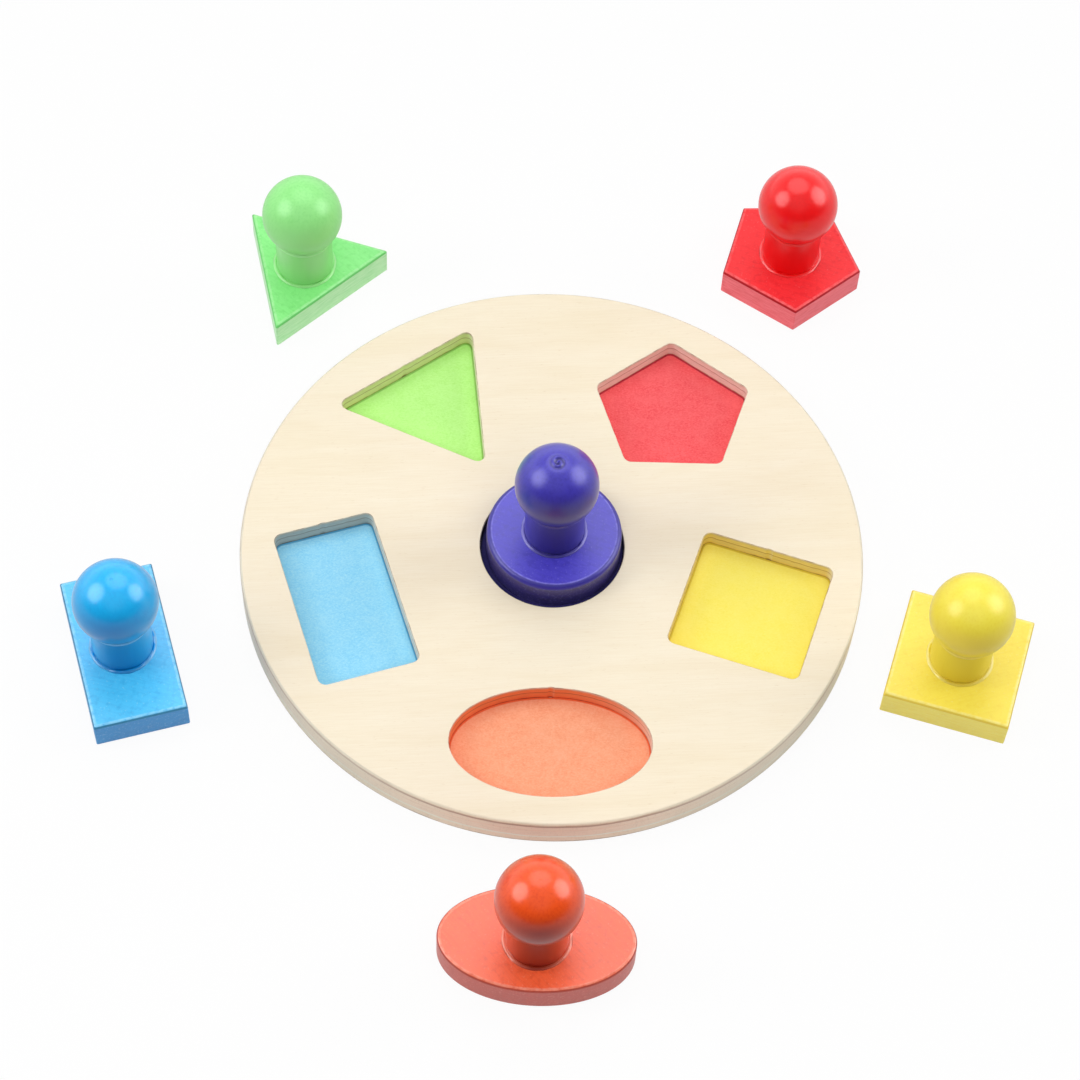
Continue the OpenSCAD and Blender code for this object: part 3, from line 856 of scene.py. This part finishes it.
def mark_knob(knob, axis, base, bead, spiral_depth):
    """Marks the knob for its paint. Red is painted shade: below the ball, most at front and back, and in the
    spiral. Green is a painted highlight on the bead and the glue ring, brightest to either side."""
    place = knob.data.attributes.new("place", "FLOAT_COLOR", "POINT")
    for vertex in knob.data.vertices:
        height = vertex.co.z / MM - base
        out = vertex.co.xy - axis
        facing = (out.y / max(out.length, 1e-6)) ** 2
        # Painted shade below the ball, strongest to the front and back
        painted_shade = min(1.0, max(0.0, (SHADE_TOP - height) / (SHADE_TOP - SHADE_FOOT)))
        painted_shade = painted_shade * painted_shade * (3 - 2 * painted_shade) * (SHADE_AT_SIDES + (1 - SHADE_AT_SIDES) * facing)
        # Painted shade in the spiral's groove
        if spiral_depth and height > BALL_RISE:
            painted_shade = max(painted_shade, min(1.0, SPIRAL_SHADE * spiral_share(out)))
        # Painted highlight on the bead and on the glue ring
        painted_highlight = 0.0
        if BEAD_FOOT < height < BEAD_TOP:
            painted_highlight = BEAD_HIGHLIGHT * bead / WIDEST_BEAD
        elif height < GLUE_TOP and out.length > (NECK_R + LUMP_START) * MM:
            painted_highlight = GLUE_HIGHLIGHT - GLUE_HIGHLIGHT_LESS * facing
        place.data[vertex.index].color = (painted_shade, painted_highlight, 0.0, 1.0)


def make_knob(shape, material, bead, mark_depth, mark_radius, spiral_depth):
    """A turned knob: a ball cut open at the neck and at the pole, then drawn down through the groove, the
    bead and the neck to the glue ring at its foot, and closed over the lathe's mark at the top."""
    low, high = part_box(shape.name + "_knob")
    axis = (low + high).xy / 2
    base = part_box(shape.name + "_block")[1].z / MM
    bpy.ops.object.select_all(action="DESELECT")
    bpy.ops.mesh.primitive_uv_sphere_add(segments=96, ring_count=72, radius=BALL_R * MM,
                                         location=(axis.x, axis.y, (base + BALL_RISE) * MM))
    knob = bpy.context.object
    knob.name = knob.data.name = shape.name + "_turned_knob"
    bpy.ops.object.transform_apply(location=True, rotation=True, scale=True)
    edit(knob)
    cap_height = BALL_RISE + math.sqrt(BALL_R ** 2 - CAP_CUT ** 2)
    # The first cut takes away what lies below it, the second what lies above
    for height, below in ((BALL_CUT, True), (cap_height, False)):
        bpy.ops.mesh.select_all(action="SELECT")
        bpy.ops.mesh.bisect(plane_co=(axis.x, axis.y, (base + height) * MM), plane_no=(0, 0, 1),
                            clear_inner=below, clear_outer=not below, threshold=1e-7)
    pick(knob, "edges", lambda e: e.is_boundary and level_at(base + BALL_CUT)(e))
    rings = [(height, NECK_R + out + bead * share) for height, out, share in BEAD_PROFILE]
    rings += [(height, NECK_R + out) for height, out in FOOT_PROFILE]
    ring_extrude(axis, BALL_CUT, math.sqrt(BALL_R ** 2 - (BALL_RISE - BALL_CUT) ** 2), rings, base)
    bpy.ops.mesh.edge_face_add()
    pick(knob, "edges", lambda e: e.is_boundary and level_at(base + cap_height)(e))
    cap = []
    for radius in CAP_RINGS:
        dip = mark_depth * math.sqrt(max(0.0, 1 - (radius / mark_radius) ** 2))
        cap.append((BALL_RISE + math.sqrt(BALL_R ** 2 - radius ** 2) - dip, radius))
    ring_extrude(axis, cap_height, CAP_CUT, cap, base)
    bpy.ops.mesh.edge_face_add()
    leave(knob, smooth_angle=50)
    roughen(knob, axis, lambda r, z: z < base + LUMP_TOP and NECK_R + LUMP_START < r < NECK_R + LUMP_END,
            LUMP_DEPTH, LUMP_WIDTH, base + shape.peg_turn)
    if spiral_depth:
        # A lathe tool that ran off the centre left a spiral round the pole
        for vertex in knob.data.vertices:
            if vertex.co.z / MM > base + BALL_RISE:
                vertex.co.z -= spiral_depth * MM * spiral_share(vertex.co.xy - axis)
    mark_knob(knob, axis, base, bead, spiral_depth)
    knob.data.materials.append(material)
    finish_piece(knob, shape.name + "_peg", PAINT_SLOTS[shape.name] + "_painted_wood", shape.name + "_knob")


def make_block(shape, material):
    """A flat block with rounded corners and edges. Its edges and sides are marked for the paint."""
    low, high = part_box(shape.name + "_knob")
    axis = (low + high).xy / 2 / MM
    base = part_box(shape.name + "_block")[0].z / MM
    top = base + BLOCK_T
    top_r = ROUND_BLOCK_TOP_R if shape.name == "circle" else BLOCK_TOP_R
    block = prism(shape.name + "_painted_block", shape.corners, shape.size, axis, shape.peg_turn, base, top)
    round_edges(block, level_at(top), top_r, 6)
    round_edges(block, level_at(base), BLOCK_FOOT_R, 4)
    if shape.corner_angle:
        round_edges(block, at_corner, SANDED_CORNER_R, 4, shape.corner_angle)
        # The corner's rounding ends level with the flats
        for vertex in bmesh.from_edit_mesh(block.data).verts:
            vertex.co.z = min(max(vertex.co.z, base * MM), top * MM)
    pick(block, "faces", lambda f: f.normal.z > FLAT_RISE and level_at(top)(f))
    bpy.ops.mesh.inset(thickness=PALE_LINE_WIDTH * MM, depth=0)
    pick(block, "faces", lambda f: f.normal.z > FLAT_RISE and level_at(top)(f) and len(f.verts) > 4)
    inner = set(v.index for v in bmesh.from_edit_mesh(block.data).verts if v.select)
    leave(block)
    even_normals(block)
    # Red marks the paler line round the flat, green the rest of the rounded edge, which takes painted shade,
    # blue the sawn sides
    pale_line = ROUND_BLOCK_DROP if shape.name == "circle" else PALE_LINE_DROP
    side = top_r - SIDE_OVERLAP
    place = block.data.attributes.new("place", "FLOAT_COLOR", "POINT")
    for vertex in block.data.vertices:
        drop = top - vertex.co.z / MM
        line = 1.0 if drop < pale_line and vertex.index not in inner else 0.0
        shaded_band = 1.0 if pale_line < drop < side else 0.0
        wall = 1.0 if drop > side else 0.0
        place.data[vertex.index].color = (line, shaded_band, wall, 1.0)
    block.data.materials.append(material)
    finish_piece(block, shape.name + "_peg", PAINT_SLOTS[shape.name] + "_painted_wood", shape.name + "_block")


# Floor and world

TABLE_WIDTH = 8
# How much of the table's white is its own glow, and how bright gloss shows it
TABLE_GLOW = 0.93
TABLE_IN_GLOSS = 0.75
# How much brighter gloss shows the sweep than it lights the wood
SWEEP_IN_GLOSS = 1.7


def make_floor_plane():
    """A plain white table top. The camera and glossy reflections see it as almost white, with the shadows
    kept."""
    bpy.ops.object.select_all(action="DESELECT")
    bpy.ops.mesh.primitive_plane_add(size=TABLE_WIDTH)
    floor = bpy.context.object
    floor.name = "white_table"
    material, tree = new_material("white_table_laminate")
    laminate = add(tree, SHADER, Base_Color=paint("#F4F4F4"), Roughness=0.6, Specular_IOR_Level=0.0)[0]
    rays = add(tree, RAYS)
    strength = add(tree, RANGE, Value=rays["Is Glossy Ray"], To_Min=1.0, To_Max=TABLE_IN_GLOSS)[0]
    glow = add(tree, "ShaderNodeEmission", Color=(1, 1, 1, 1), Strength=strength)[0]
    seen = rays["Is Camera Ray"]
    for ray in ("Is Glossy Ray", "Is Transmission Ray"):
        seen = add(tree, MATH, {"operation": "MAXIMUM"}, _0=seen, _1=rays[ray])[0]
    share = add(tree, MATH, {"operation": "MULTIPLY"}, _0=seen, _1=TABLE_GLOW)[0]
    blend = add(tree, "ShaderNodeMixShader", _0=share, _1=laminate, _2=glow)[0]
    add(tree, SURFACE, Surface=blend)
    floor.data.materials.append(material)


def make_world():
    """A studio room: a white sweep behind the table, and a darker room overhead and behind the camera."""
    world = bpy.data.worlds.new("studio")
    bpy.context.scene.world = world
    world.use_nodes = True
    tree = world.node_tree
    tree.nodes.clear()
    _, back, height = add(tree, SPLIT_PLACE, Vector=add(tree, COORDINATES)["Generated"])
    rays = add(tree, RAYS)
    room = add(tree, RANGE, Value=height, From_Min=0.02, From_Max=0.15, To_Min=0.35, To_Max=0.08)[0]
    sweep = add(tree, RANGE, Value=height, From_Min=0.15, From_Max=0.8, To_Min=1.0, To_Max=0.3)[0]
    boost = add(tree, RANGE, Value=rays["Is Glossy Ray"], To_Min=1.0, To_Max=SWEEP_IN_GLOSS)[0]
    sweep = add(tree, MATH, {"operation": "MULTIPLY"}, _0=sweep, _1=boost)[0]
    share = add(tree, RANGE, Value=back, From_Min=-0.2, From_Max=0.5)[0]
    glow = add(tree, MIX, _0=share, _2=room, _3=sweep)[0]
    # The camera sees the same white backdrop all round
    glow = add(tree, MIX, _0=rays["Is Camera Ray"], _2=glow, _3=1.0)[0]
    backdrop = add(tree, "ShaderNodeBackground", Color=(1, 1, 1, 1), Strength=glow)[0]
    add(tree, "ShaderNodeOutputWorld", Surface=backdrop)


make_camera()
make_lamps()
make_world()
make_floor_plane()

veneer = birch_veneer()
lower_edge = ply_edge("sealed_ply_edge_lower", LOWER_PLIES, 0, BASE_T)
upper_edge = ply_edge("sealed_ply_edge_upper", UPPER_PLIES, BASE_T, BOARD_T)
make_base_plate(veneer, lower_edge)
make_top_plate(veneer, upper_edge, routed_wall())

for shape in SHAPES:
    colours = COLOURS[shape.name]
    colour_name = PAINT_SLOTS[shape.name]
    make_floor(shape, floor_paint(colour_name, *colours["floor"]))
    make_block(shape, block_paint(colour_name, *colours["block"], GRAIN_TURNS[shape.name]))
    make_knob(shape, knob_paint(colour_name, *colours["knob"]), *KNOB_MARKS[shape.name])

beech = bare_beech()
for shape in SHAPES:
    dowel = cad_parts[shape.name + "_dowel"]
    dowel.data.materials.clear()
    dowel.data.materials.append(beech)
